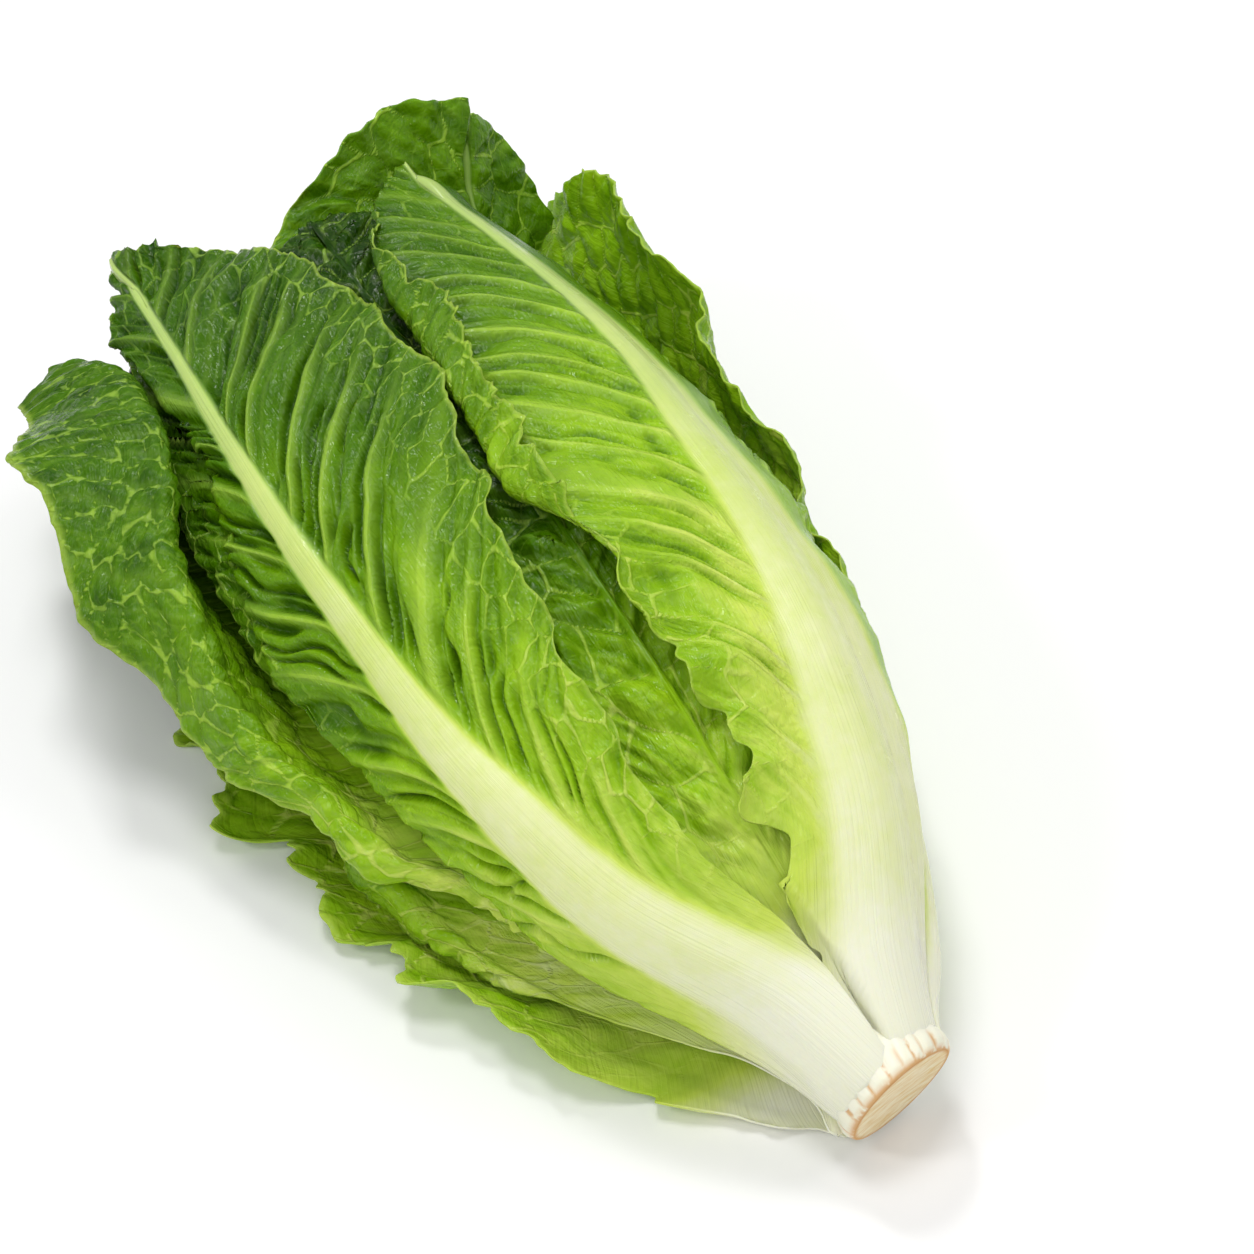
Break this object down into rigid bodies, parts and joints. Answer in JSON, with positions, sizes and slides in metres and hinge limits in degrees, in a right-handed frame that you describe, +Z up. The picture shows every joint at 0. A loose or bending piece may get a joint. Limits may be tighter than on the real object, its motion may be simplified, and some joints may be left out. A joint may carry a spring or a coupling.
{
  "type": "romaine lettuce heart",
  "caption": "Romaine lettuce heart lying on its side: long ribbed leaves clasping each other, ruffled at the tips and joined at a short cut stem.",
  "frame": {"origin": "centre of the bounding box's bottom, on the surface the heart lies on", "axes": "+Z up from that surface; +Y along the heart from its cut stem to its leaf tips, the longest extent; -X towards the side where the outer leaves fold out"},
  "size_m": [0.1616, 0.27, 0.0866],
  "materials": {
    "stem": "matte, fibrous cut",
    "leaf_under": "satin, waxy leaf, pale rib",
    "leaf_low_left": "satin, waxy leaf, pale rib",
    "leaf_right": "satin, waxy leaf, pale rib",
    "leaf_left": "satin, waxy leaf, pale rib",
    "leaf_top_left": "satin, waxy leaf, pale rib",
    "leaf_top_right": "satin, waxy leaf, pale rib",
    "leaf_between": "satin, waxy leaf, pale rib",
    "leaf_back": "satin, waxy leaf, pale rib",
    "leaf_second_left": "satin, waxy leaf, pale rib",
    "leaf_second_low": "satin, waxy leaf, pale rib",
    "leaf_second_right": "satin, waxy leaf, pale rib",
    "leaf_third_1": "satin, waxy leaf, pale rib",
    "leaf_third_2": "satin, waxy leaf, pale rib",
    "leaf_third_3": "satin, waxy leaf, pale rib",
    "leaf_third_4": "satin, waxy leaf, pale rib",
    "leaf_core_1": "satin, waxy leaf, pale rib",
    "leaf_core_2": "satin, waxy leaf, pale rib",
    "leaf_core_3": "satin, waxy leaf, pale rib"
  },
  "bodies": {
    "root": {"stem": "stem", "leaf_under": "leaf_under", "leaf_low_left": "leaf_low_left", "leaf_right": "leaf_right", "leaf_left": "leaf_left", "leaf_top_left": "leaf_top_left", "leaf_top_right": "leaf_top_right", "leaf_between": "leaf_between", "leaf_back": "leaf_back", "leaf_second_left": "leaf_second_left", "leaf_second_low": "leaf_second_low", "leaf_second_right": "leaf_second_right", "leaf_third_1": "leaf_third_1", "leaf_third_2": "leaf_third_2", "leaf_third_3": "leaf_third_3", "leaf_third_4": "leaf_third_4", "leaf_core_1": "leaf_core_1", "leaf_core_2": "leaf_core_2", "leaf_core_3": "leaf_core_3"}
  },
  "joints": []
}
